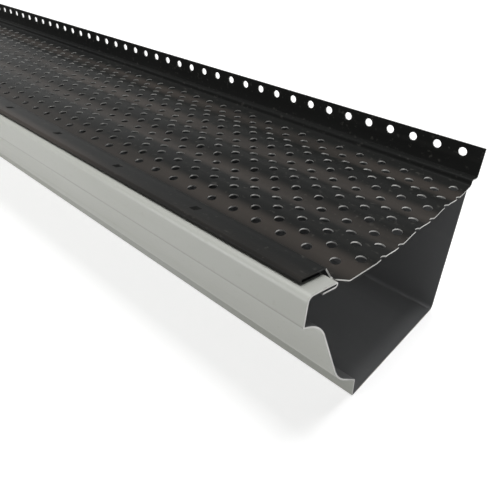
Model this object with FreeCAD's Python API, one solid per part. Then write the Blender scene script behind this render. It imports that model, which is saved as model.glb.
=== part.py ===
"""Five inch ogee gutter section with a perforated leaf guard fitted over its open top.

Millimetres. X runs along the stock, Y points back to the wall and Z points up.
The origin is under the middle of the whole section, on the plane that its bottom rests on.
"""
import FreeCAD
import Part
import math
import os

Vec = FreeCAD.Vector

# Gutter, one roll-formed sheet. Sizes are over its outer faces, from the back round to the front.
GUTTER_LENGTH = 1219.2
GUTTER_SHEET = 0.7
BACK_HEIGHT = 82.4
BACK_BEND = 3.0
BOTTOM_WIDTH = 81.7
FRONT_BEND = 1.5
RISER_LEAN = 0.8
RISER_HEIGHT = 11.6
LEDGE_RUN = 16.3
LEDGE_RISE = 14.4
COVE_RADIUS = 30.0
WAIST_RUN = 17.9
WAIST_RISE = 42.1
BELLY_RADIUS = 20.0
BROW_RUN = 10.3
BROW_RISE = 5.8
CREASE_BEND = 0.8
FASCIA_LEAN = 1.2
FASCIA_HEIGHT = 12.5
NOSE_RADIUS = 2.6
LIP_WIDTH = 16.4
LIP_DROP = 3.6
HEM_LENGTH = 8.5
HEM_GAP = 0.9

# Leaf guard, one perforated sheet. Sizes are over its upper face, from the front to the back.
GUARD_LENGTH = GUTTER_LENGTH
GUARD_SHEET = 0.6
GUARD_OVERHANG = 3.0
SEAT_GAP = 0.3
STRIP_SETBACK = 2.4
STRIP_WIDTH = 13.8
STRIP_HEM_LENGTH = 11.5
STRIP_HEM_GAP = 1.1
STEP_RUN = 4.2
STEP_BEND = 1.2
PAN_DROP = 3.5
WAVE_HEIGHT = 1.3
CREST_FLAT = 5.2
SHELF_WIDTH = 4.2
SHELF_BEND = 0.9
FLANGE_BEND = 0.4
FLANGE_HEIGHT = 14.3
NOTCH_LENGTH = 8.4
PAN_SETBACK = 0.6
SNIP_LENGTH = 2.2
SNIP_WIDTH = 16.0
CORNER_LENGTH = 4.2
CORNER_WIDTH = 2.8

# Perforations
HOLE_DIAMETER = 4.1
HOLE_SIDES = 6
HOLE_PITCH = 12.7
ROW_SPACING = 6.6
REAR_ROW_INSET = 6.9
FRONT_ROW_INSET = 5.0
EVEN_ROW_INSET = 5.9
FLANGE_HOLE_DIAMETER = 4.1
FLANGE_HOLE_DROP = 4.4
FLANGE_HOLE_INSET = 9.9

# Points nearer than this are one point
TOUCHING = 0.000001

# Places that both pieces share
OVERALL_WIDTH = BOTTOM_WIDTH + RISER_LEAN + LEDGE_RUN + WAIST_RUN + BROW_RUN
BACK_Y = OVERALL_WIDTH / 2
GUARD_END_X = (GUARD_LENGTH + GUARD_OVERHANG) / 2
GUTTER_END_X = GUARD_END_X - GUARD_OVERHANG
SHELF_Z = BACK_HEIGHT + SEAT_GAP + GUARD_SHEET
FLANGE_Y = BACK_Y - GUARD_SHEET
RISER_Y = FLANGE_Y - SHELF_WIDTH
PAN_Z = SHELF_Z - PAN_DROP


def side_of(direction):
    """Direction turned a quarter turn to the left, with Y to the right and Z up."""
    return Vec(0, -direction.z, direction.y)


def moved_left(points, distance):
    """Corners of the line that runs beside the given one, at a distance to its left."""
    headings = [(end - start).normalize() for start, end in zip(points, points[1:])]
    moved = []
    for index, point in enumerate(points):
        before = side_of(headings[max(index - 1, 0)])
        after = side_of(headings[min(index, len(headings) - 1)])
        both = before + after
        moved.append(point + both * (2 * distance / both.dot(both)))
    return moved


def rounded_line(points, radii):
    """Edges along the points, with a tangent arc at each inner point that has a radius."""
    edges = []
    start = points[0]
    for corner, before, after, radius in zip(points[1:], points, points[2:], radii):
        into = (corner - before).normalize()
        out = (after - corner).normalize()
        half_turn = into.getAngle(out) / 2
        if not radius:
            edges.append(Part.makeLine(start, corner))
            start = corner
            continue
        arc_start = corner - into * radius * math.tan(half_turn)
        arc_end = corner + out * radius * math.tan(half_turn)
        sagitta = radius / math.cos(half_turn) - radius
        arc_middle = corner + (out - into).normalize() * sagitta
        if arc_start.distanceToPoint(start) > TOUCHING:
            edges.append(Part.makeLine(start, arc_start))
        edges.append(Part.Arc(arc_start, arc_middle, arc_end).toShape())
        start = arc_end
    edges.append(Part.makeLine(start, points[-1]))
    return edges


def bent_sheet(outline, radii, thickness, first_x, length):
    """Sheet whose left face follows the outline, with the bend radii given on that face."""
    face_line = [Vec(first_x, y, z) for y, z in outline]
    back_line = moved_left(face_line, -thickness)
    back_radii = []
    for before, corner, after, radius in zip(face_line, face_line[1:], face_line[2:], radii):
        turns_left = side_of(corner - before).dot(after - corner) > 0
        growth = thickness if turns_left else -thickness
        back_radii.append(radius + growth if radius else 0)
    edges = rounded_line(face_line, radii)
    edges.append(Part.makeLine(face_line[-1], back_line[-1]))
    edges += list(reversed(rounded_line(back_line, back_radii)))
    edges.append(Part.makeLine(back_line[0], face_line[0]))
    section = Part.Face(Part.Wire(edges))
    return section.extrude(Vec(length, 0, 0))


def gutter_outline():
    """Outer face of the gutter from the back's top edge to the end of the lip's hem."""
    bends = [((BACK_Y, BACK_HEIGHT), None), ((BACK_Y, 0), BACK_BEND)]
    y, z = BACK_Y - BOTTOM_WIDTH, 0
    bends.append(((y, z), FRONT_BEND))
    rises = [
        (RISER_LEAN, RISER_HEIGHT, FRONT_BEND),
        (LEDGE_RUN, LEDGE_RISE, COVE_RADIUS),
        (WAIST_RUN, WAIST_RISE, BELLY_RADIUS),
        (BROW_RUN, BROW_RISE, CREASE_BEND),
        (-FASCIA_LEAN, FASCIA_HEIGHT, NOSE_RADIUS),
    ]
    for run, rise, bend in rises:
        y -= run
        z += rise
        bends.append(((y, z), bend))
    return bends


def lip_line():
    """Front corner, unit heading and unit upward normal of the lip's top face."""
    corner = Vec(0, *gutter_outline()[-1][0])
    heading = Vec(0, LIP_WIDTH, -LIP_DROP).normalize()
    return corner, heading, side_of(heading)


def gutter_trough():
    """Gutter with its back, bottom, ogee front, and a lip hemmed back under itself."""
    bends = gutter_outline()
    corner, heading, up = lip_line()
    fold = 2 * GUTTER_SHEET + HEM_GAP
    tip = corner + Vec(0, LIP_WIDTH, -LIP_DROP)
    for point in (tip, tip - up * fold):
        bends.append(((point.y, point.z), fold / 2))
    end = tip - up * fold - heading * HEM_LENGTH
    bends.append(((end.y, end.z), None))
    outline = [point for point, bend in bends]
    radii = [bend for point, bend in bends[1:-1]]
    return bent_sheet(outline, radii, GUTTER_SHEET, GUTTER_END_X - GUTTER_LENGTH, GUTTER_LENGTH)


def row_places():
    """Y of each row of holes, from the rear one to the front one."""
    rear = RISER_Y - REAR_ROW_INSET
    front = pan_front_y() + FRONT_ROW_INSET
    count = int((rear - front) / ROW_SPACING) + 1
    return [rear - row * ROW_SPACING for row in range(count)]


def strip_corners():
    """Front and rear corners of the strip's top face, above the gutter's lip."""
    corner, heading, up = lip_line()
    lift = SEAT_GAP + 2 * GUARD_SHEET + STRIP_HEM_GAP
    front = corner + heading * STRIP_SETBACK + up * lift
    return front, front + heading * STRIP_WIDTH


def pan_front_y():
    """Y of the fold where the step meets the pan."""
    return strip_corners()[1].y + STEP_RUN


def guard_outline():
    """Upper face of the guard from its front hem over the waved pan to the flange's top."""
    corner, heading, up = lip_line()
    front, rear = strip_corners()
    fold = 2 * GUARD_SHEET + STRIP_HEM_GAP
    under = front - up * fold
    bends = [(under + heading * STRIP_HEM_LENGTH, None), (under, fold / 2), (front, fold / 2)]
    bends.append((rear, STEP_BEND))
    bends.append((Vec(0, pan_front_y(), PAN_Z - WAVE_HEIGHT / 2), STEP_BEND))
    for index, y in reversed(list(enumerate(row_places()[1:-1:2]))):
        height = WAVE_HEIGHT / 2 if index % 2 else -WAVE_HEIGHT / 2
        for edge in (-CREST_FLAT / 2, CREST_FLAT / 2):
            bends.append((Vec(0, y + edge, PAN_Z + height), 0))
    bends.append((Vec(0, RISER_Y, PAN_Z + WAVE_HEIGHT / 2), SHELF_BEND))
    bends.append((Vec(0, RISER_Y, SHELF_Z), SHELF_BEND))
    bends.append((Vec(0, FLANGE_Y, SHELF_Z), FLANGE_BEND))
    bends.append((Vec(0, FLANGE_Y, SHELF_Z + FLANGE_HEIGHT), None))
    return bends


def hole_columns(inset):
    """X of each hole of a row whose first hole lies at an inset from the guard's end."""
    count = int((GUARD_LENGTH - inset) / HOLE_PITCH) + 1
    return [GUARD_END_X - inset - column * HOLE_PITCH for column in range(count)]


def pan_punches():
    """Upright few-sided punches for the staggered rows of the pan."""
    bottom = PAN_Z - WAVE_HEIGHT - 2 * GUARD_SHEET
    depth = 2 * WAVE_HEIGHT + 3 * GUARD_SHEET
    radius = HOLE_DIAMETER / 2
    turns = [2 * math.pi * side / HOLE_SIDES for side in range(HOLE_SIDES + 1)]
    ring = [Vec(radius * math.cos(turn), radius * math.sin(turn), bottom) for turn in turns]
    punch = Part.Face(Part.makePolygon(ring)).extrude(Vec(0, 0, depth))
    punches = []
    for row, y in enumerate(row_places()):
        inset = EVEN_ROW_INSET - row % 2 * HOLE_PITCH / 2
        for x in hole_columns(inset):
            punches.append(punch.translated(Vec(x, y, 0)))
    return punches


def flange_punches():
    """Round punches for the row of fixing holes in the flange."""
    z = SHELF_Z + FLANGE_HEIGHT - FLANGE_HOLE_DROP
    radius = FLANGE_HOLE_DIAMETER / 2
    reach = 3 * GUARD_SHEET
    return [
        Part.makeCylinder(radius, reach, Vec(x, BACK_Y + GUARD_SHEET, z), Vec(0, -1, 0))
        for x in hole_columns(FLANGE_HOLE_INSET)
        if x - radius > GUARD_END_X - GUARD_LENGTH
    ]


def end_trim():
    """What is snipped off one end: the strip, the pan's front corner and a sliver of the pan."""
    front, rear = -OVERALL_WIDTH, pan_front_y()
    outline = [
        (NOTCH_LENGTH, front),
        (NOTCH_LENGTH, rear),
        (PAN_SETBACK + SNIP_LENGTH + CORNER_LENGTH, rear),
        (PAN_SETBACK + SNIP_LENGTH, rear + CORNER_WIDTH),
        (PAN_SETBACK, rear + SNIP_WIDTH),
        (PAN_SETBACK, FLANGE_Y - FLANGE_BEND),
        (-GUARD_SHEET, FLANGE_Y - FLANGE_BEND),
        (-GUARD_SHEET, front),
    ]
    corners = [Vec(GUARD_END_X - inset, y, 0) for inset, y in outline]
    snip = Part.Face(Part.makePolygon(corners + corners[:1]))
    return snip.extrude(Vec(0, 0, OVERALL_WIDTH))


def leaf_guard():
    """Guard with its strip, waved and perforated pan, shelf and drilled flange."""
    bends = guard_outline()
    outline = [(point.y, point.z) for point, bend in bends]
    radii = [bend for point, bend in bends[1:-1]]
    sheet = bent_sheet(outline, radii, GUARD_SHEET, GUARD_END_X - GUARD_LENGTH, GUARD_LENGTH)
    trimmed = sheet.cut(end_trim())
    return trimmed.cut(Part.Compound(pan_punches() + flange_punches()))


os.makedirs("parts", exist_ok=True)
for name, make in (("gutter_trough", gutter_trough), ("leaf_guard", leaf_guard)):
    shape = make()
    if len(shape.Solids) == 1:
        shape = shape.Solids[0]
    print(name, shape.ShapeType, shape.isValid(), round(shape.Volume), shape.BoundBox)
    shape.exportStep("parts/" + name + ".step")
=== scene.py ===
"""Ogee gutter section with a perforated leaf guard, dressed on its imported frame.

Metres. X runs along the stock, Y points back to the wall and Z points up, as in the frame.
"""
import math

import bmesh
import bpy
from bpy.props import FloatProperty, FloatVectorProperty, IntProperty, PointerProperty
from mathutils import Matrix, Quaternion, Vector


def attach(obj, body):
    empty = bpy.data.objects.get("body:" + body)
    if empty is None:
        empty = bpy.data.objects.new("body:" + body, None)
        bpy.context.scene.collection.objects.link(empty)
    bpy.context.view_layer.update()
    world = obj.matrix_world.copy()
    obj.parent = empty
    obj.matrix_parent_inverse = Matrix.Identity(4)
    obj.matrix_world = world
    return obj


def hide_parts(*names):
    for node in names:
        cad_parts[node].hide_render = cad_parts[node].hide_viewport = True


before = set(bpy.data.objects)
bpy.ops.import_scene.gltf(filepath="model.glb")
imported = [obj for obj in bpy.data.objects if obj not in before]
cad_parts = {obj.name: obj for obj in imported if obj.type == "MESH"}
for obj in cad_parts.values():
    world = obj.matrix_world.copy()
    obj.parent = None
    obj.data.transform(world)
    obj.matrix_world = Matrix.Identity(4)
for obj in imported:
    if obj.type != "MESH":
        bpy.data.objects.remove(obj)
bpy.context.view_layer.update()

bl_info = {
    "name": "Gutter section with leaf guard",
    "version": (1, 0, 0),
    "blender": (4, 5, 0),
    "location": "3D View > Sidebar > Gutter",
    "description": "Models a length of ogee gutter and its perforated leaf guard",
    "category": "Object",
}

MM = 0.001

# Shaping
TOUCHING = 0.01 * MM  # closer points are one point
SMOOTH_ANGLE = math.radians(32)
ARC_STEP = math.radians(9)  # turn of one facet in the gutter's bends
REAR_ARC_STEP = math.radians(30)  # the same in the guard's shelf and flange
FRONT_ARC_STEP = math.radians(20)  # the same in the guard's step and strip
CELL_PARTS = 4  # parts of each side of the cell round a hole
FORM_MARGIN = 2 * MM  # how far the wave form reaches past the pan
WAVE_SEGMENTS = 10
NEARLY_HALF = 0.499  # share of a slope that each wave's rounding takes
DIMPLE_BAND = (0.34, 0.62)  # where the dimples lie across the strip, from its rear
DIMPLE_SLOPE = 1.1 * MM  # width of the slope round a dimple
DIMPLE_SLACK = 1.05  # keeps the faces on the edge of a dimple
FACING = 0.99  # a normal this close to X faces the end

# Material slots of a sheet, after its outside
INSIDE, CUT, PUNCHED = 1, 2, 3

# Surfaces
MIX_FACTOR, MIX_FIRST, MIX_SECOND, MIX_RESULT = 0, 6, 7, 2  # a Mix node's colour sockets
DUST_DULLS = 0.18  # roughness that dust adds
PEEL_DEPTH = 0.1 * MM
SHEAR_DEPTH = 0.05 * MM
SHEARED_SHADE = 0.6  # how dark the cut metal's grain goes
# Painted shade: a darker line along the crease under the fascia
CREASE_SHADE_REACH = 1.4 * MM  # how far the painted shade along the crease spreads
CREASE_SHADE_SHARE = 0.55

# Stage
FLOOR_WIDTH = 12
FLOOR_GLOW = 0.66
SOFT_LIGHT = 0.13  # strength of the world on the surfaces


# Properties

def length(name, description, millimetres):
    """A size in the scene's unit of length, given in millimetres."""
    return FloatProperty(
        name=name, description=description, default=millimetres * MM,
        min=0.0, precision=5, unit="LENGTH",
    )


def tint(name, description, colour):
    """A paint or metal colour."""
    return FloatVectorProperty(
        name=name, description=description, default=(*colour, 1.0),
        size=4, min=0.0, max=1.0, subtype="COLOR",
    )


class GutterSizes(bpy.types.PropertyGroup):
    """Sizes of the roll-formed gutter over its outer faces."""

    stock_length: length("Length", "Length of the gutter", 1219.2)
    sheet: length("Sheet", "Thickness of the gutter's sheet", 0.7)
    back_height: length("Back Height", "Height of the back wall", 82.4)
    back_bend: length("Back Bend", "Radius between the back wall and the bottom", 3.0)
    bottom_width: length("Bottom Width", "Width of the flat bottom", 81.7)
    front_bend: length("Front Bend", "Radius at the front of the bottom", 1.5)
    riser_lean: length("Riser Lean", "How far the small riser leans forward", 0.8)
    riser_height: length("Riser Height", "Height of the small riser", 11.6)
    ledge_run: length("Ledge Run", "How far the ledge runs forward", 16.3)
    ledge_rise: length("Ledge Rise", "How far the ledge rises", 14.4)
    cove_radius: length("Cove Radius", "Radius of the hollow curve", 30.0)
    waist_run: length("Waist Run", "How far the waist runs forward", 17.9)
    waist_rise: length("Waist Rise", "How far the waist rises", 42.1)
    belly_radius: length("Belly Radius", "Radius under the brow", 20.0)
    brow_run: length("Brow Run", "How far the brow runs forward", 10.3)
    brow_rise: length("Brow Rise", "How far the brow rises", 5.8)
    crease_bend: length("Crease Bend", "Radius of the crease under the fascia", 0.8)
    fascia_lean: length("Fascia Lean", "How far the fascia leans back", 1.2)
    fascia_height: length("Fascia Height", "Height of the flat fascia", 12.5)
    nose_radius: length("Nose Radius", "Radius at the top of the fascia", 2.6)
    lip_width: length("Lip Width", "Width of the lip that the guard rests on", 16.4)
    lip_drop: length("Lip Drop", "How far the lip falls to the rear", 3.6)
    hem_length: length("Hem Length", "Length of the lip's hem", 8.5)
    hem_gap: length("Hem Gap", "Gap inside the lip's hem", 0.9)


class GuardSizes(bpy.types.PropertyGroup):
    """Sizes of the perforated guard over its upper face."""

    stock_length: length("Length", "Length of the guard", 1219.2)
    sheet: length("Sheet", "Thickness of the guard's sheet", 0.6)
    overhang: length("Overhang", "How far the guard stands past the gutter", 3.0)
    seat_gap: length("Seat Gap", "Gap between the guard and what it rests on", 0.3)
    strip_setback: length("Strip Setback", "From the fascia back to the strip", 2.4)
    strip_width: length("Strip Width", "Width of the strip on the lip", 13.8)
    strip_hem_length: length("Strip Hem Length", "Length of the strip's hem", 11.5)
    strip_hem_gap: length("Strip Hem Gap", "Gap inside the strip's hem", 1.1)
    step_run: length("Step Run", "Run of the step down to the pan", 4.2)
    step_bend: length("Step Bend", "Radius of the step's bends", 1.2)
    pan_drop: length("Pan Drop", "From the shelf down to the middle of the pan", 3.5)
    wave_height: length("Wave Height", "Height of the pan's waves", 1.3)
    shelf_width: length("Shelf Width", "Width of the shelf on the back wall", 4.2)
    shelf_bend: length("Shelf Bend", "Radius of the shelf's bends", 0.9)
    flange_bend: length("Flange Bend", "Radius between the shelf and the flange", 0.4)
    flange_height: length("Flange Height", "Height of the flange", 14.3)
    notch_length: length("Notch", "Length snipped off the strip's end", 8.4)
    pan_setback: length("Pan Setback", "How far the pan ends inside the flange", 0.6)
    snip_length: length("Snip Length", "Length of the snip along the pan's end", 2.2)
    snip_width: length("Snip Width", "Width of the snipped corner of the pan", 16.0)
    corner_length: length("Corner Length", "Length of the pan's clipped corner", 4.2)
    corner_width: length("Corner Width", "Width of the pan's clipped corner", 2.8)
    hole: length("Hole", "Diameter of the holes", 4.1)
    hole_pitch: length("Hole Pitch", "Pitch of the holes along a row", 12.7)
    row_spacing: length("Row Spacing", "Distance between the rows of holes", 6.6)
    rear_row_inset: length("Rear Row Inset", "From the riser to the rear row", 6.9)
    first_hole_inset: length("First Hole Inset", "From the end to an even row's first hole", 5.9)
    flange_hole_drop: length("Flange Hole Drop", "From the flange's top to its holes", 4.4)
    flange_hole_inset: length("Flange Hole Inset", "From the end to the first flange hole", 9.9)
    dimple_pitch: length("Dimple Pitch", "Distance between the strip's dimples", 50.8)
    dimple_inset: length("Dimple Inset", "From the end to the first dimple", 63.5)
    dimple_depth: length("Dimple Depth", "Depth of the strip's dimples", 0.9)
    row_count: IntProperty(name="Rows", description="Rows of holes", default=14, min=2, step=2)


class FinishColours(bpy.types.PropertyGroup):
    """Colours of the paints and of the cut metal."""

    gutter_paint: tint("Gutter Paint", "Paint on the gutter's outside", (0.335, 0.341, 0.317))
    gutter_shade: tint("Gutter Shade", "Duller patches of that paint", (0.305, 0.310, 0.272))
    # Painted shade: the colour of the darker line along the crease under the fascia
    crease_shade: tint("Crease Shade", "Painted shade along the crease under the fascia", (0.15, 0.15, 0.13))
    inside_coat: tint("Inside Coat", "Coat on the gutter's inside", (0.125, 0.128, 0.131))
    inside_dust: tint("Inside Dust", "Dust on the inside coat", (0.150, 0.152, 0.152))
    guard_paint: tint("Guard Paint", "Paint on the guard", (0.0115, 0.0120, 0.0117))
    guard_dust: tint("Guard Dust", "Dust and handling marks on the guard", (0.075, 0.073, 0.067))
    # Painted reflection: the warm brown tint of the bands along the guard's waves
    guard_wave_reflection: tint("Guard Wave Reflection", "Painted reflection along the guard's waves", (0.044, 0.039, 0.035))
    cut_metal: tint("Cut Metal", "Bare metal of the cut edges", (0.50, 0.50, 0.48))
    punched_metal: tint("Punched Metal", "Dull metal round the holes", (0.60, 0.60, 0.58))
    floor: tint("Floor", "Plain pale floor", (0.6, 0.6, 0.6))


# Selecting and shaping

def clear_selection():
    """Object mode with nothing selected."""
    if bpy.context.object and bpy.context.object.mode != "OBJECT":
        bpy.ops.object.mode_set(mode="OBJECT")
    bpy.ops.object.select_all(action="DESELECT")


def choose(*pieces):
    """Selects these pieces alone, the last one active."""
    clear_selection()
    for piece in pieces:
        piece.select_set(True)
        bpy.context.view_layer.objects.active = piece


def pick(piece, kind, test):
    """Selects the vertices, edges or faces in edit mode whose points all pass the test."""
    bpy.ops.mesh.select_mode(type=kind)
    bpy.ops.mesh.select_all(action="DESELECT")
    mesh = bmesh.from_edit_mesh(piece.data)
    parts = {"VERT": mesh.verts, "EDGE": mesh.edges, "FACE": mesh.faces}[kind]
    found = 0
    for part in parts:
        points = [part.co] if kind == "VERT" else [vertex.co for vertex in part.verts]
        if all(test(point) for point in points):
            part.select_set(True)
            found += 1
    mesh.select_flush_mode()
    bmesh.update_edit_mesh(piece.data)
    if not found:
        raise RuntimeError("nothing to pick on " + piece.name)


def near(value, target):
    """True where two places are the same."""
    return abs(value - target) < TOUCHING


def on_line(place, x_low=-math.inf, x_high=math.inf):
    """Test for points on the line along X through a place (y, z)."""
    def test(point):
        along = x_low - TOUCHING < point.x < x_high + TOUCHING
        return along and near(point.y, place[0]) and near(point.z, place[1])
    return test


def pull(start, end):
    """Extrudes the picked edges from one place (y, z) to the next."""
    step = (0, end[0] - start[0], end[1] - start[1])
    bpy.ops.mesh.extrude_edges_move(TRANSFORM_OT_translate={"value": step})


def round_folds(piece, corners, bends, x_low=-math.inf, x_high=math.inf, arc_step=ARC_STEP):
    """Rounds the folds of a sheet to their radii."""
    for before, corner, after, radius in zip(corners, corners[1:], corners[2:], bends):
        into = Vector(corner) - Vector(before)
        out = Vector(after) - Vector(corner)
        turn = into.angle(out)
        pick(piece, "EDGE", on_line(corner, x_low, x_high))
        bpy.ops.mesh.bevel(
            offset_type="OFFSET", offset=radius * math.tan(turn / 2),
            segments=max(2, round(turn / arc_step)), profile=0.5,
            affect="EDGES", clamp_overlap=False,
        )


def add_panel(name, x_low, x_high, start, end):
    """A plane from one line along X to the next, facing to the left of its way."""
    clear_selection()
    run, rise = end[0] - start[0], end[1] - start[1]
    middle = ((x_low + x_high) / 2, (start[0] + end[0]) / 2, (start[1] + end[1]) / 2)
    bpy.ops.mesh.primitive_plane_add(
        size=1, location=middle, rotation=(math.atan2(rise, run), 0, 0)
    )
    piece = bpy.context.object
    piece.name = piece.data.name = name
    piece.scale = (x_high - x_low, math.hypot(run, rise), 1)
    bpy.ops.object.transform_apply(location=True, rotation=True, scale=True)
    return piece


def roll_form(name, x_low, x_high, corners, bends):
    """A sheet of no thickness: a panel extruded from fold to fold, with the folds rounded."""
    piece = add_panel(name, x_low, x_high, corners[0], corners[1])
    bpy.ops.object.mode_set(mode="EDIT")
    for start, end in zip(corners[1:], corners[2:]):
        pick(piece, "EDGE", on_line(start))
        pull(start, end)
    round_folds(piece, corners, bends)
    return piece


def apply_modifier(piece, kind, **settings):
    """Adds one modifier to the piece and applies it."""
    choose(piece)
    modifier = piece.modifiers.new(kind.title(), kind)
    for name, value in settings.items():
        setattr(modifier, name, value)
    bpy.ops.object.modifier_apply(modifier=modifier.name)


def copy_along(piece, count, step):
    """Repeats a piece's mesh, with the copies welded where they meet."""
    apply_modifier(
        piece, "ARRAY", count=count, use_relative_offset=False, use_constant_offset=True,
        constant_offset_displace=step, use_merge_vertices=True, merge_threshold=TOUCHING,
    )


def face_up(piece):
    """Makes the normals of an open sheet agree, with most of it facing up."""
    bpy.ops.mesh.select_all(action="SELECT")
    bpy.ops.mesh.normals_make_consistent(inside=False)
    sheet = bmesh.from_edit_mesh(piece.data)
    if sum(face.normal.z * face.calc_area() for face in sheet.faces) < 0:
        bpy.ops.mesh.flip_normals()


def trim(place, normal):
    """Cuts off what lies beyond a plane, in edit mode."""
    bpy.ops.mesh.select_all(action="SELECT")
    bpy.ops.mesh.bisect(
        plane_co=place, plane_no=Vector(normal).normalized(), clear_outer=True, use_fill=False
    )


def thicken(piece, sheet):
    """Gives a sheet its thickness behind the modelled face, with its own inside and cut edges."""
    apply_modifier(
        piece, "SOLIDIFY", thickness=sheet, offset=-1.0, use_even_offset=True,
        use_rim=True, material_offset=INSIDE, material_offset_rim=CUT,
    )


def finish_sheet(piece, sheet, materials, node):
    """Welds, thickens and paints a sheet, and puts it in place of its node."""
    bpy.ops.object.mode_set(mode="EDIT")
    bpy.ops.mesh.select_all(action="SELECT")
    bpy.ops.mesh.remove_doubles(threshold=TOUCHING)
    bpy.ops.object.mode_set(mode="OBJECT")
    for material in materials:
        piece.data.materials.append(material)
    thicken(piece, sheet)
    choose(piece)
    bpy.ops.object.shade_smooth_by_angle(angle=SMOOTH_ANGLE)
    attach(piece, "root")
    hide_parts(node)


def repaint(piece, old, new, test):
    """Moves the faces of one material slot that pass the test to another slot."""
    for face in piece.data.polygons:
        if face.material_index == old and test(face):
            face.material_index = new


# Sections

def left_of(heading):
    """Unit vector to the left of a heading in the (y, z) plane."""
    return Vector((-heading.y, heading.x)).normalized()


def middle_width(sizes):
    """Half of the width over all."""
    runs = (sizes.bottom_width, sizes.riser_lean, sizes.ledge_run, sizes.waist_run, sizes.brow_run)
    return sum(runs) / 2


def gutter_corners(sizes):
    """Corners and bend radii of the gutter's outer face, from the back's top to the nose."""
    y, z = middle_width(sizes), 0.0
    corners = [(y, sizes.back_height), (y, z)]
    y -= sizes.bottom_width
    corners.append((y, z))
    rises = (
        (sizes.riser_lean, sizes.riser_height),
        (sizes.ledge_run, sizes.ledge_rise),
        (sizes.waist_run, sizes.waist_rise),
        (sizes.brow_run, sizes.brow_rise),
        (-sizes.fascia_lean, sizes.fascia_height),
    )
    for run, rise in rises:
        y -= run
        z += rise
        corners.append((y, z))
    bends = [
        sizes.back_bend, sizes.front_bend, sizes.front_bend, sizes.cove_radius,
        sizes.belly_radius, sizes.crease_bend, sizes.nose_radius,
    ]
    return corners, bends


def lip_line(sizes):
    """Front corner, unit heading and unit upward normal of the lip's top face."""
    corners = gutter_corners(sizes)[0]
    heading = Vector((sizes.lip_width, -sizes.lip_drop)).normalized()
    return Vector(corners[-1]), heading, left_of(heading)


def strip_corners(gutter, guard):
    """Front and rear corners of the strip's top face, above the gutter's lip."""
    corner, heading, up = lip_line(gutter)
    lift = guard.seat_gap + 2 * guard.sheet + guard.strip_hem_gap
    front = corner + heading * guard.strip_setback + up * lift
    return front, front + heading * guard.strip_width


# Node helpers

def new_node(tree, kind, **settings):
    """Adds a shader node and sets its properties."""
    made = tree.nodes.new(kind)
    for name, value in settings.items():
        setattr(made, name, value)
    return made


def wire(tree, source, socket, target, entry):
    """Links one node's output to another's input, both by name or index."""
    tree.links.new(source.outputs[socket], target.inputs[entry])


def new_math(tree, operation, source, socket, value=None):
    """Adds a Math node fed by an output, with its second number set where one is given."""
    made = new_node(tree, "ShaderNodeMath", operation=operation)
    wire(tree, source, socket, made, 0)
    if value is not None:
        made.inputs[1].default_value = value
    return made


def new_range(tree, source, socket, limits, results=(0.0, 1.0), smooth=False):
    """Adds a Map Range node that takes an output's limits to two results."""
    kind = "SMOOTHSTEP" if smooth else "LINEAR"
    made = new_node(tree, "ShaderNodeMapRange", interpolation_type=kind)
    wire(tree, source, socket, made, "Value")
    entries = ("From Min", "From Max", "To Min", "To Max")
    for entry, value in zip(entries, (*limits, *results)):
        made.inputs[entry].default_value = value
    return made


def new_noise(tree, detail, along=1.0):
    """Adds noise in the object's own coordinates, drawn out along X where along is below 1."""
    place = new_node(tree, "ShaderNodeTexCoord")
    stretch = new_node(tree, "ShaderNodeMapping")
    stretch.inputs["Scale"].default_value = (along, 1.0, 1.0)
    noise = new_node(tree, "ShaderNodeTexNoise")
    noise.inputs["Detail"].default_value = detail
    wire(tree, place, "Object", stretch, "Vector")
    wire(tree, stretch, 0, noise, "Vector")
    return noise


def new_axes(tree):
    """Adds the object's own coordinates, one by one."""
    place = new_node(tree, "ShaderNodeTexCoord")
    axes = new_node(tree, "ShaderNodeSeparateXYZ")
    wire(tree, place, "Object", axes, "Vector")
    return axes


def new_product(tree, first, second):
    """Adds the product of two nodes' first outputs."""
    made = new_math(tree, "MULTIPLY", first, 0)
    wire(tree, second, 0, made, 1)
    return made


def seen_by(tree, *rays):
    """Adds a mask that is 1 for these kinds of ray and 0 for the rest."""
    path = new_node(tree, "ShaderNodeLightPath")
    mask, socket = path, rays[0]
    for ray in rays[1:]:
        either = new_math(tree, "MAXIMUM", mask, socket)
        wire(tree, path, ray, either, 1)
        mask, socket = either, 0
    return mask


def new_material(name):
    """A material, with its tree and its shader."""
    material = bpy.data.materials.new(name)
    material.use_nodes = True
    tree = material.node_tree
    return material, tree, tree.nodes["Principled BSDF"]


def material_of(name, make):
    """The named material, made on first use."""
    return bpy.data.materials.get(name) or make(name)


# Shared effects

def new_group(name, inputs, outputs):
    """A shader node group with number inputs and outputs, and its two end nodes."""
    group = bpy.data.node_groups.new(name, "ShaderNodeTree")
    for label, default in inputs.items():
        socket = group.interface.new_socket(label, in_out="INPUT", socket_type="NodeSocketFloat")
        socket.default_value = default
    for label in outputs:
        group.interface.new_socket(label, in_out="OUTPUT", socket_type="NodeSocketFloat")
    return group, group.nodes.new("NodeGroupInput"), group.nodes.new("NodeGroupOutput")


def coat_grain():
    """Group: the fine peel of a sprayed or rolled coat, and slow changes of its tone."""
    name = "Coat Grain"
    if name in bpy.data.node_groups:
        return bpy.data.node_groups[name]
    group, entry, result = new_group(
        name, {"Peel Scale": 900.0, "Drift Scale": 14.0}, ("Height", "Tone")
    )
    peel = new_noise(group, detail=2.0)
    wire(group, entry, "Peel Scale", peel, "Scale")
    wire(group, peel, 0, result, "Height")
    drift = new_noise(group, detail=4.0, along=0.35)
    wire(group, entry, "Drift Scale", drift, "Scale")
    tone = new_range(group, drift, 0, limits=(0.32, 0.68))
    wire(group, tone, 0, result, "Tone")
    return group


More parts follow.
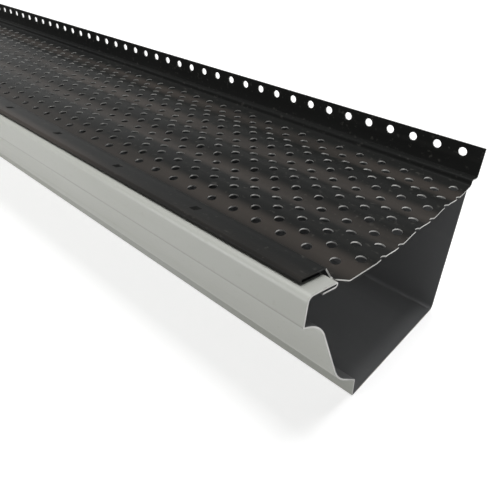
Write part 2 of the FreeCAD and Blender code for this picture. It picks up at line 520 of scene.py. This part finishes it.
def handling_marks():
    """Group: dust specks and thin rubbed lines left by handling and forming."""
    name = "Handling Marks"
    if name in bpy.data.node_groups:
        return bpy.data.node_groups[name]
    group, entry, result = new_group(
        name, {"Speck Scale": 420.0, "Line Scale": 160.0}, ("Specks", "Lines")
    )
    specks = new_noise(group, detail=3.0)
    wire(group, entry, "Speck Scale", specks, "Scale")
    sparse = new_range(group, specks, 0, limits=(0.62, 0.74))
    wire(group, sparse, 0, result, "Specks")
    lines = new_noise(group, detail=3.0, along=0.03)
    wire(group, entry, "Line Scale", lines, "Scale")
    thin = new_range(group, lines, 0, limits=(0.56, 0.72))
    wire(group, thin, 0, result, "Lines")
    return group


# Materials

def mix_tones(tree, shader, mask, socket, second):
    """Feeds the shader a mix of two colours, with the second one where the mask is 1."""
    tones = new_node(tree, "ShaderNodeMix", data_type="RGBA")
    tones.inputs[MIX_SECOND].default_value = second
    wire(tree, mask, socket, tones, MIX_FACTOR)
    wire(tree, tones, MIX_RESULT, shader, "Base Color")
    return tones


def cover(material, mask, colour):
    """Lays one more colour over a painted material where the mask is 1."""
    tree = material.node_tree
    shader = tree.nodes["Principled BSDF"]
    painted = shader.inputs["Base Color"].links[0].from_node
    tones = mix_tones(tree, shader, mask, 0, colour)
    wire(tree, painted, MIX_RESULT, tones, MIX_FIRST)


def roughen(tree, shader, mask, socket, smoothest, dullest):
    """Feeds the shader a roughness between two values."""
    gloss = new_range(tree, mask, socket, limits=(0.0, 1.0), results=(smoothest, dullest))
    wire(tree, gloss, 0, shader, "Roughness")


def emboss(tree, shader, grain, strength, depth):
    """Feeds the shader the fine relief of the grain."""
    relief = new_node(tree, "ShaderNodeBump")
    relief.inputs["Strength"].default_value = strength
    relief.inputs["Distance"].default_value = depth
    wire(tree, grain, "Height", relief, "Height")
    wire(tree, relief, 0, shader, "Normal")


def paint_material(name, paint, dulled, rough, peel, specks, lines, bump, drift=0.5, ior=1.5):
    """Coat of paint: two close tones, a fine peel, dust specks and rubbed lines."""
    material, tree, shader = new_material(name)
    shader.inputs["IOR"].default_value = ior
    grain = new_node(tree, "ShaderNodeGroup", node_tree=coat_grain())
    grain.inputs["Peel Scale"].default_value = peel
    marks = new_node(tree, "ShaderNodeGroup", node_tree=handling_marks())
    # The paint drifts between its tones, and dust lies on it in lines and specks.
    drifted = new_math(tree, "MULTIPLY", grain, "Tone", drift)
    lined = new_math(tree, "MULTIPLY_ADD", marks, "Lines", lines)
    wire(tree, drifted, 0, lined, 2)
    dusty = new_math(tree, "MULTIPLY_ADD", marks, "Specks", specks)
    dusty.use_clamp = True
    wire(tree, lined, 0, dusty, 2)
    tones = mix_tones(tree, shader, dusty, 0, dulled)
    tones.inputs[MIX_FIRST].default_value = paint
    roughen(tree, shader, dusty, 0, rough, rough + DUST_DULLS)
    emboss(tree, shader, grain, bump, PEEL_DEPTH)
    return material


def shade_crease(material, height, shade_tint):
    """Painted shade: a darker line along the crease that runs along the front at a height."""
    tree = material.node_tree
    axes = new_axes(tree)
    offset = new_math(tree, "SUBTRACT", axes, "Z", height)
    distance = new_math(tree, "ABSOLUTE", offset, 0)
    line = new_range(
        tree, distance, 0, limits=(0.0, CREASE_SHADE_REACH), results=(CREASE_SHADE_SHARE, 0.0), smooth=True
    )
    front = new_math(tree, "LESS_THAN", axes, "Y", 0.0)
    cover(material, new_product(tree, line, front), shade_tint)
    return material


def reflection_in_waves(material, trough_y, period, reflection_tint):
    """Painted reflection: a warm brown tint laid in long patches along the troughs of the waves.
    """
    tree = material.node_tree
    offset = new_math(tree, "SUBTRACT", new_axes(tree), "Y", trough_y)
    turn = new_math(tree, "MULTIPLY", offset, 0, math.tau / period)
    swing = new_math(tree, "COSINE", turn, 0)
    trough = new_range(tree, swing, 0, limits=(-0.4, 1.0), smooth=True)
    patches = new_noise(tree, detail=3.0, along=0.12)
    patches.inputs["Scale"].default_value = 45.0
    uneven = new_range(tree, patches, 0, limits=(0.34, 0.6), results=(0.15, 1.0))
    cover(material, new_product(tree, trough, uneven), reflection_tint)
    return material


def cut_material(name, metal, metallic):
    """Bare sheared metal with a fine uneven grain."""
    material, tree, shader = new_material(name)
    shader.inputs["Metallic"].default_value = metallic
    grain = new_node(tree, "ShaderNodeGroup", node_tree=coat_grain())
    grain.inputs["Peel Scale"].default_value = 2500.0
    grain.inputs["Drift Scale"].default_value = 90.0
    shaded = [channel * SHEARED_SHADE for channel in metal[:3]] + [1.0]
    tones = mix_tones(tree, shader, grain, "Tone", shaded)
    tones.inputs[MIX_FIRST].default_value = metal
    roughen(tree, shader, grain, "Height", smoothest=0.28, dullest=0.5)
    emboss(tree, shader, grain, strength=0.3, depth=SHEAR_DEPTH)
    return material


def cut_edge(colours):
    """Material of the cut edges."""
    return material_of(
        "cut_metal", lambda name: cut_material(name, colours.cut_metal, metallic=0.8)
    )


# The gutter

def guard_end(guard):
    """Near end of the guard, which lies evenly about the middle with its overhang."""
    return (guard.stock_length + guard.overhang) / 2


class GUTTER_OT_trough(bpy.types.Operator):
    """Models the roll-formed gutter with its ogee front and hemmed lip"""

    bl_idname = "gutter.trough"
    bl_label = "Gutter Trough"

    def execute(self, context):
        sizes = context.scene.gutter_sizes
        guard = context.scene.guard_sizes
        colours = context.scene.gutter_colours
        corners, bends = gutter_corners(sizes)
        corner, heading, up = lip_line(sizes)
        fold = 2 * sizes.sheet + sizes.hem_gap
        tip = corner + Vector((sizes.lip_width, -sizes.lip_drop))
        corners += [tuple(tip), tuple(tip - up * fold)]
        corners.append(tuple(tip - up * fold - heading * sizes.hem_length))
        bends += [fold / 2, fold / 2]
        near_x = guard_end(guard) - guard.overhang
        piece = roll_form("gutter_body", near_x - sizes.stock_length, near_x, corners, bends)
        finish_sheet(
            piece, sizes.sheet, self.materials(sizes, colours), "gutter_trough"
        )
        return {"FINISHED"}

    def materials(self, sizes, colours):
        """Paint outside, coat inside and cut edges."""
        crease_height = sum(
            (sizes.riser_height, sizes.ledge_rise, sizes.waist_rise, sizes.brow_rise)
        )
        # The outside paint carries painted shade along the crease under the fascia.
        outside = material_of("gutter_paint_outside", lambda name: shade_crease(paint_material(
            name, colours.gutter_paint, colours.gutter_shade,
            rough=0.42, peel=700.0, specks=0.35, lines=0.25, bump=0.25,
        ), crease_height, colours.crease_shade))
        inside = material_of("gutter_coat_inside", lambda name: paint_material(
            name, colours.inside_coat, colours.inside_dust,
            rough=0.38, peel=700.0, specks=0.5, lines=0.3, bump=0.25,
        ))
        return outside, inside, cut_edge(colours)


# The guard

def hole_cell(name, middle, size, hole_shift, radius, upright=False):
    """One hole and the sheet round it, flat or upright, as a ring of faces."""
    clear_selection()
    turn = (math.radians(90), 0, 0) if upright else (0, 0, 0)
    bpy.ops.mesh.primitive_plane_add(size=1, location=middle, rotation=turn)
    cell = bpy.context.object
    cell.name = cell.data.name = name
    cell.scale = (*size, 1)
    bpy.ops.object.transform_apply(location=True, rotation=True, scale=True)
    bpy.ops.object.mode_set(mode="EDIT")
    bpy.ops.mesh.select_all(action="SELECT")
    bpy.ops.mesh.delete(type="ONLY_FACE")
    bpy.ops.mesh.select_mode(type="EDGE")
    bpy.ops.mesh.select_all(action="SELECT")
    bpy.ops.mesh.subdivide(number_cuts=CELL_PARTS - 1)
    bpy.ops.mesh.select_all(action="DESELECT")
    centre = Vector(middle) + Vector((hole_shift, 0, 0))
    bpy.ops.mesh.primitive_circle_add(
        vertices=4 * CELL_PARTS, radius=radius, fill_type="NOTHING", location=centre, rotation=turn
    )
    bpy.ops.mesh.select_all(action="SELECT")
    bpy.ops.mesh.bridge_edge_loops()
    bpy.ops.object.mode_set(mode="OBJECT")
    return cell


class GuardPlan:
    """Places that the guard's steps share: x along, y across and z up, or (y, z) corners."""

    def __init__(self, gutter, guard):
        self.end_x = guard_end(guard)
        self.far_x = self.end_x - guard.stock_length
        self.pan_x = self.end_x - guard.pan_setback
        self.strip_x = self.end_x - guard.notch_length
        self.even_x = self.end_x - guard.first_hole_inset
        self.columns = int(guard.stock_length / guard.hole_pitch) + 2

        shelf_z = gutter.back_height + guard.seat_gap + guard.sheet
        self.flange_y = middle_width(gutter) - guard.sheet
        self.riser_y = self.flange_y - guard.shelf_width
        self.rear_row = self.riser_y - guard.rear_row_inset
        self.front_edge = self.rear_row - (guard.row_count - 0.5) * guard.row_spacing
        self.hole_z = shelf_z + guard.flange_height - guard.flange_hole_drop

        self.heading, self.up = lip_line(gutter)[1:]
        front, self.strip_rear = strip_corners(gutter, guard)
        self.hem = 2 * guard.sheet + guard.strip_hem_gap
        under = front - self.up * self.hem
        self.fold_y = self.strip_rear.x + guard.step_run

        self.pan_z = shelf_z - guard.pan_drop
        self.rear_z = self.pan_z + guard.wave_height / 2
        self.front_z = self.pan_z - guard.wave_height / 2
        self.waves = []
        for index in range(guard.row_count // 2 - 1):
            height = guard.wave_height if index % 2 else -guard.wave_height
            wave_y = self.rear_row - (2 * index + 1) * guard.row_spacing
            self.waves.append((wave_y, self.pan_z + height))
        self.rear_line = [
            (self.riser_y, self.rear_z), (self.riser_y, shelf_z), (self.flange_y, shelf_z),
            (self.flange_y, self.hole_z - guard.flange_hole_drop),
        ]
        self.dimple_rows = [
            self.strip_rear + (front - self.strip_rear) * part for part in DIMPLE_BAND
        ]
        self.front_line = [
            Vector((self.fold_y, self.front_z)), self.strip_rear, *self.dimple_rows, front, under,
            under + self.heading * guard.strip_hem_length,
        ]


class GUTTER_OT_guard(bpy.types.Operator):
    """Models the perforated leaf guard with its waved pan, front strip and rear flange"""

    bl_idname = "gutter.guard"
    bl_label = "Leaf Guard"

    def execute(self, context):
        guard = context.scene.guard_sizes
        plan = GuardPlan(context.scene.gutter_sizes, guard)
        piece = self.punch_pan(guard, plan)
        self.snip_pan(piece, guard, plan)
        self.wave_pan(piece, guard, plan)
        self.raise_rear(piece, guard, plan)
        self.join_flange(piece, guard, plan)
        self.fold_front(piece, plan)
        self.press_dimples(piece, guard, plan)
        self.round_bends(piece, guard, plan)
        self.finish(piece, guard, plan, context.scene.gutter_colours)
        return {"FINISHED"}

    def punch_pan(self, guard, plan):
        """The flat pan: two staggered cells, repeated along and across."""
        size = (guard.hole_pitch, guard.row_spacing)
        radius = guard.hole / 2
        place = (plan.even_x, plan.rear_row, plan.pan_z)
        piece = hole_cell("guard_sheet", place, size, 0, radius)
        odd_place = (
            plan.even_x + guard.hole_pitch / 2, plan.rear_row - guard.row_spacing, plan.pan_z
        )
        choose(hole_cell("odd_cell", odd_place, size, 0, radius), piece)
        bpy.ops.object.join()
        copy_along(piece, plan.columns, (-guard.hole_pitch, 0, 0))
        copy_along(piece, guard.row_count // 2, (0, -2 * guard.row_spacing, 0))
        choose(piece)
        bpy.ops.object.mode_set(mode="EDIT")
        bpy.ops.mesh.select_all(action="SELECT")
        bpy.ops.mesh.remove_doubles(threshold=TOUCHING)
        bpy.ops.mesh.normals_make_consistent(inside=False)
        return piece

    def snip_pan(self, piece, guard, plan):
        """The pan's plain edges, its cut ends and its snipped near corner."""
        trim((plan.pan_x, 0, 0), (1, 0, 0))
        trim((plan.far_x, 0, 0), (-1, 0, 0))
        rear_edge = (plan.rear_row + guard.row_spacing / 2, plan.pan_z)
        front_edge = (plan.front_edge, plan.pan_z)
        pick(piece, "EDGE", on_line(rear_edge))
        pull(rear_edge, (plan.riser_y, plan.pan_z))
        pick(piece, "EDGE", on_line(front_edge))
        pull(front_edge, (plan.fold_y, plan.pan_z))
        turn = (plan.pan_x - guard.snip_length, plan.fold_y + guard.corner_width, 0)
        trim(turn, (guard.snip_width - guard.corner_width, -guard.snip_length, 0))
        trim(turn, (guard.corner_width, -guard.corner_length, 0))
        pick(piece, "FACE", lambda point: point.y < plan.front_edge + TOUCHING)
        bpy.ops.mesh.bisect(plane_co=(plan.strip_x, 0, 0), plane_no=(1, 0, 0))
        bpy.ops.object.mode_set(mode="OBJECT")

    def wave_pan(self, piece, guard, plan):
        """Lays the flat pan on a form with smooth waves."""
        line = [
            (plan.riser_y + FORM_MARGIN, plan.rear_z), (plan.riser_y, plan.rear_z), *plan.waves,
            (plan.fold_y, plan.front_z), (plan.fold_y - FORM_MARGIN, plan.front_z),
        ]
        far_x, near_x = plan.far_x - FORM_MARGIN, plan.end_x + FORM_MARGIN
        form = roll_form("wave_form", far_x, near_x, line, [])
        for wave in plan.waves:
            pick(form, "EDGE", on_line(wave))
            bpy.ops.mesh.bevel(
                offset_type="OFFSET", offset=2 * NEARLY_HALF * guard.row_spacing,
                segments=WAVE_SEGMENTS, profile=0.5, affect="EDGES", clamp_overlap=False,
            )
        bpy.ops.object.mode_set(mode="OBJECT")
        apply_modifier(
            piece, "SHRINKWRAP", target=form, wrap_method="PROJECT", use_project_z=True,
            use_negative_direction=True, use_positive_direction=True,
        )
        bpy.data.objects.remove(form)

    def raise_rear(self, piece, guard, plan):
        """Up to the shelf, back to the wall and up to the flange's holes."""
        choose(piece)
        bpy.ops.object.mode_set(mode="EDIT")
        for start, end in zip(plan.rear_line, plan.rear_line[1:]):
            pick(piece, "EDGE", on_line(start))
            pull(start, end)
        pick(
            piece, "VERT",
            lambda point: near(point.x, plan.pan_x) and near(point.y, plan.flange_y),
        )
        bpy.ops.transform.translate(value=(guard.pan_setback, 0, 0))
        bpy.ops.object.mode_set(mode="OBJECT")

    def join_flange(self, piece, guard, plan):
        """The flange's row of holes, with plain sheet from the last hole to the end."""
        hole_x = plan.end_x - guard.flange_hole_inset
        cell_x = plan.even_x - guard.hole_pitch / 2
        flange = hole_cell(
            "flange_cell", (cell_x, plan.flange_y, plan.hole_z),
            (guard.hole_pitch, 2 * guard.flange_hole_drop), hole_x - cell_x, guard.hole / 2,
            upright=True,
        )
        copy_along(flange, plan.columns - 1, (-guard.hole_pitch, 0, 0))
        bpy.ops.object.mode_set(mode="EDIT")
        start_x = plan.even_x
        while start_x < plan.end_x - TOUCHING:
            reach = min(guard.hole_pitch / CELL_PARTS, plan.end_x - start_x)
            pick(flange, "EDGE", lambda point: near(point.x, start_x))
            bpy.ops.mesh.extrude_edges_move(TRANSFORM_OT_translate={"value": (reach, 0, 0)})
            start_x += reach
        trim((plan.far_x, 0, 0), (-1, 0, 0))
        bpy.ops.object.mode_set(mode="OBJECT")
        choose(flange, piece)
        bpy.ops.object.join()
        bpy.ops.object.mode_set(mode="EDIT")
        bpy.ops.mesh.select_all(action="SELECT")
        bpy.ops.mesh.remove_doubles(threshold=TOUCHING)

    def fold_front(self, piece, plan):
        """Up the step, along the strip and round its hem."""
        for start, end in zip(plan.front_line, plan.front_line[1:]):
            pick(piece, "EDGE", on_line(start, x_high=plan.strip_x))
            pull(start, end)
        face_up(piece)

    def press_dimples(self, piece, guard, plan):
        """The dimples pressed into the strip, each as wide as two parts of a hole's cell."""
        part = guard.hole_pitch / CELL_PARTS
        first = plan.end_x - guard.dimple_inset
        reach = DIMPLE_SLACK * part
        rear_y, front_y = (row.x for row in plan.dimple_rows)

        def in_dimple(point):
            across = front_y - TOUCHING < point.y < rear_y + TOUCHING
            along = (first - point.x + reach) % guard.dimple_pitch < 2 * reach
            above_hem = point.z > plan.strip_rear.y
            return across and along and above_hem and point.x < first + part

        pick(piece, "FACE", in_dimple)
        bpy.ops.mesh.inset(thickness=DIMPLE_SLOPE, depth=0)
        sink = -plan.up * guard.dimple_depth
        bpy.ops.transform.translate(value=(0, sink.x, sink.y))

    def round_bends(self, piece, guard, plan):
        """Gives each fold its bend radius."""
        before_riser = (plan.riser_y - guard.row_spacing, plan.rear_z)
        before_step = (plan.fold_y + guard.row_spacing, plan.front_z)
        fold, rear, *_, front, under, tail = plan.front_line
        folds = (
            (plan.rear_line, (guard.shelf_bend, guard.flange_bend), REAR_ARC_STEP),
            ((before_riser, *plan.rear_line[:2]), (guard.shelf_bend,), REAR_ARC_STEP),
            (
                (fold, rear, front, under, tail),
                (guard.step_bend, plan.hem / 2, plan.hem / 2), FRONT_ARC_STEP,
            ),
        )
        for corners, bends, arc_step in folds:
            round_folds(piece, corners, bends, arc_step=arc_step)
        round_folds(
            piece, (before_step, fold, rear), [guard.step_bend],
            x_high=plan.strip_x, arc_step=FRONT_ARC_STEP,
        )

    def finish(self, piece, guard, plan, colours):
        """Thickens and paints the sheet, with dull rims in the holes and the strip's cut end in
        the underside's dark paint.
        """
        # The top paint carries painted reflections in long patches along the troughs of the waves.
        top = material_of("guard_paint_top", lambda name: reflection_in_waves(paint_material(
            name, colours.guard_paint, colours.guard_dust,
            rough=0.3, peel=900.0, specks=0.45, lines=0.06, bump=0.3, drift=0.08, ior=1.075,
        ), plan.waves[0][0], 4 * guard.row_spacing, colours.guard_wave_reflection))
        below = material_of("guard_paint_below", lambda name: paint_material(
            name, colours.guard_paint, colours.guard_dust,
            rough=0.4, peel=900.0, specks=0.3, lines=0.1, bump=0.3, drift=0.08, ior=1.2,
        ))
        punched = material_of(
            "punched_metal", lambda name: cut_material(name, colours.punched_metal, metallic=0.3)
        )
        materials = (top, below, cut_edge(colours), punched)
        finish_sheet(piece, guard.sheet, materials, "leaf_guard")

        def in_hole(face):
            return abs(face.normal.x) < FACING and face.center.y > plan.front_edge

        def on_strip_end(face):
            place = face.center
            return place.y < plan.strip_rear.x and place.x > plan.strip_x - guard.sheet

        repaint(piece, CUT, PUNCHED, in_hole)
        # The strip's cut end takes the underside's dark paint instead of bare cut metal.
        repaint(piece, CUT, INSIDE, on_strip_end)


# The stage

class GUTTER_OT_stage(bpy.types.Operator):
    """Sets up the pale floor, the soft lamps and the camera"""

    bl_idname = "gutter.stage"
    bl_label = "Stage"

    def execute(self, context):
        scene = context.scene
        scene.view_settings.view_transform = "Standard"
        self.add_floor(scene.gutter_colours.floor)
        self.light_world(scene)
        near_middle, open_end = (0.3, 0, 0.05), (0.6, 0, 0.05)
        self.add_lamp("key_lamp", (0.1, -0.75, 0.12), near_middle, size=0.36, power=4)
        self.add_lamp("top_lamp", (0.45, 0, 1.6), (0.45, 0, 0.05), size=0.8, power=25)
        self.add_lamp(
            "rear_lamp", (-0.2, 1.4, 0.5), (0, 0, 0.05), size=1.0, power=7, in_gloss=False
        )
        self.add_lamp("front_lamp", (1.3, -0.8, 0.5), open_end, size=0.5, power=1.6)
        self.add_camera(scene)
        return {"FINISHED"}

    def add_floor(self, colour):
        """A wide plain floor that keeps the object's shadow."""
        clear_selection()
        bpy.ops.mesh.primitive_plane_add(size=FLOOR_WIDTH)
        floor = bpy.context.object
        floor.name = "floor"
        material, tree, shader = new_material("pale_floor")
        shader.inputs["Roughness"].default_value = 0.9
        shader.inputs["Specular IOR Level"].default_value = 0.1
        shader.inputs["Base Color"].default_value = colour
        shader.inputs["Emission Color"].default_value = (1, 1, 1, 1)
        seen = seen_by(tree, "Is Camera Ray", "Is Glossy Ray")
        glow = new_math(tree, "MULTIPLY", seen, 0, FLOOR_GLOW)
        wire(tree, glow, 0, shader, "Emission Strength")
        floor.data.materials.append(material)

    def light_world(self, scene):
        """White to the camera and in reflections, and a plain soft light on surfaces."""
        world = bpy.data.worlds.new("studio")
        scene.world = world
        world.use_nodes = True
        tree = world.node_tree
        background = tree.nodes["Background"]
        background.inputs["Color"].default_value = (1, 1, 1, 1)
        seen = seen_by(tree, "Is Camera Ray", "Is Glossy Ray", "Is Transmission Ray")
        strength = new_range(tree, seen, 0, limits=(0.0, 1.0), results=(SOFT_LIGHT, 1.0))
        wire(tree, strength, 0, background, "Strength")

    def add_lamp(self, name, place, aim, size, power, in_gloss=True):
        """A square soft lamp that points at a place."""
        lamp = bpy.data.lights.new(name, "AREA")
        lamp.size = size
        lamp.energy = power
        holder = bpy.data.objects.new(name, lamp)
        holder.location = place
        holder.rotation_euler = (Vector(aim) - Vector(place)).to_track_quat("-Z", "Y").to_euler()
        holder.visible_glossy = in_gloss
        bpy.context.scene.collection.objects.link(holder)

    def add_camera(self, scene):
        """The camera, near the open end and above the front."""
        camera = bpy.data.cameras.new("camera")
        camera.sensor_width = 36
        camera.lens = 34.53
        camera.shift_x = -0.044
        camera.shift_y = -0.0368
        camera.clip_start = 10 * MM
        holder = bpy.data.objects.new("camera", camera)
        holder.location = (0.66832, -0.15372, 0.17914)
        view = Vector((-0.535, 0.6466, -0.5438)).to_track_quat("-Z", "Y")
        roll = Quaternion((0, 0, 1), math.radians(3.087))
        holder.rotation_mode = "QUATERNION"
        holder.rotation_quaternion = view @ roll
        scene.collection.objects.link(holder)
        scene.camera = holder


# Add-on

class GUTTER_PT_panel(bpy.types.Panel):
    """Lists the pieces and their sizes"""

    bl_idname = "GUTTER_PT_panel"
    bl_label = "Gutter Section"
    bl_space_type = "VIEW_3D"
    bl_region_type = "UI"
    bl_category = "Gutter"

    def draw(self, context):
        """One button for each step, then every size and colour."""
        layout = self.layout
        for operator in (GUTTER_OT_trough, GUTTER_OT_guard, GUTTER_OT_stage):
            layout.operator(operator.bl_idname)
        for group in ("gutter_sizes", "guard_sizes", "gutter_colours"):
            values = getattr(context.scene, group)
            box = layout.box()
            for name in values.bl_rna.properties.keys():
                if name not in ("rna_type", "name"):
                    box.prop(values, name)


CLASSES = (
    GutterSizes, GuardSizes, FinishColours,
    GUTTER_OT_trough, GUTTER_OT_guard, GUTTER_OT_stage, GUTTER_PT_panel,
)


def register():
    """Adds the classes and the scene's properties."""
    for made in CLASSES:
        bpy.utils.register_class(made)
    bpy.types.Scene.gutter_sizes = PointerProperty(type=GutterSizes)
    bpy.types.Scene.guard_sizes = PointerProperty(type=GuardSizes)
    bpy.types.Scene.gutter_colours = PointerProperty(type=FinishColours)


def unregister():
    """Takes them out again."""
    del bpy.types.Scene.gutter_colours
    del bpy.types.Scene.guard_sizes
    del bpy.types.Scene.gutter_sizes
    for made in reversed(CLASSES):
        bpy.utils.unregister_class(made)


def main():
    """Makes every piece, then the stage."""
    register()
    bpy.ops.gutter.trough()
    bpy.ops.gutter.guard()
    bpy.ops.gutter.stage()


if __name__ == "__main__":
    main()
